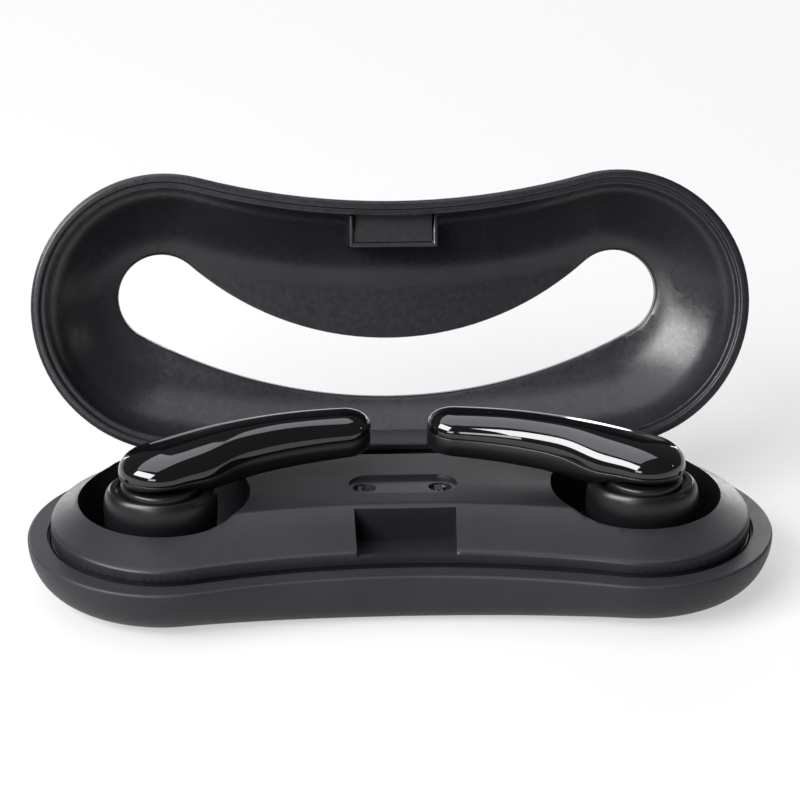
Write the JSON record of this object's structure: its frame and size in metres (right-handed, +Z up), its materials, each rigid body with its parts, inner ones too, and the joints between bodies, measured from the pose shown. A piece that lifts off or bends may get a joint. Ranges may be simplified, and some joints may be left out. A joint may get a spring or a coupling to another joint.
{
  "type": "wireless earbuds charging case",
  "caption": "Bean-shaped charging case with a hinged lid and smile-shaped opening, holding two curved stick-type wireless earbuds in wells",
  "frame": {"origin": "centre of the flat underside, on the table", "axes": "+X along the case's long side to the right, +Y back towards the hinge, +Z up; lid stands open in the stored pose"},
  "size_m": [0.1, 0.057, 0.0467],
  "materials": {
    "case_shell": "fine matt texture",
    "deck": "fine matt texture",
    "lid": "fine matt texture",
    "gloss": "piano gloss",
    "satin": "satin",
    "mesh": "fine dark mesh",
    "steel": "plain",
    "socket": "plain",
    "magnet": "nickel plated",
    "gold": "gold plated",
    "cell": "foil pouch",
    "board": "solder mask",
    "lens": "smoked red lens"
  },
  "bodies": {
    "case": {"base_shell": "case_shell", "deck_insert": "deck", "side_marks": "deck", "hinge_pin": "steel", "case_cell": "cell", "case_board": "board", "latch_magnet": "magnet", "charging_socket": "socket"},
    "lid": {"lid_shell": "lid", "hinge_bar": "deck", "lid_magnet": "magnet", "magnet_cover": "deck"},
    "bud_left": {"stem_cover_l": "gloss", "stem_shell_l": "satin", "neck_ring_l": "satin", "housing_l": "satin", "grille_l": "mesh", "driver_l": "mesh", "status_lens_l": "lens", "charge_pads_l": "gold", "bud_magnet_l": "magnet", "bud_cell_l": "cell", "bud_board_l": "board"},
    "bud_right": {"stem_cover_r": "gloss", "stem_shell_r": "satin", "neck_ring_r": "satin", "housing_r": "satin", "grille_r": "mesh", "driver_r": "mesh", "status_lens_r": "lens", "charge_pads_r": "gold", "bud_magnet_r": "magnet", "bud_cell_r": "cell", "bud_board_r": "board"},
    "plunger_l1": {"charge_pin_l1": "gold"},
    "plunger_l2": {"charge_pin_l2": "gold"},
    "plunger_r1": {"charge_pin_r1": "gold"},
    "plunger_r2": {"charge_pin_r2": "gold"}
  },
  "joints": [
    {"name": "lid_hinge", "type": "hinge", "parent": "case", "child": "lid", "pos_m": [0, 0.01995, 0.01], "axis": [1, 0, 0], "range_deg": [0, 110]},
    {"name": "bud_left_lift", "type": "slide", "parent": "case", "child": "bud_left", "axis": [0, 0, 1], "range_m": [0, 0.045]},
    {"name": "bud_right_lift", "type": "slide", "parent": "case", "child": "bud_right", "axis": [0, 0, 1], "range_m": [0, 0.045]},
    {"name": "charge_pin_l1_travel", "type": "slide", "parent": "case", "child": "plunger_l1", "axis": [0, 0, -1], "range_m": [0, 0.0004], "stiffness_N_per_m": 40},
    {"name": "charge_pin_l2_travel", "type": "slide", "parent": "case", "child": "plunger_l2", "axis": [0, 0, -1], "range_m": [0, 0.0004], "stiffness_N_per_m": 40},
    {"name": "charge_pin_r1_travel", "type": "slide", "parent": "case", "child": "plunger_r1", "axis": [0, 0, -1], "range_m": [0, 0.0004], "stiffness_N_per_m": 40},
    {"name": "charge_pin_r2_travel", "type": "slide", "parent": "case", "child": "plunger_r2", "axis": [0, 0, -1], "range_m": [0, 0.0004], "stiffness_N_per_m": 40}
  ]
}
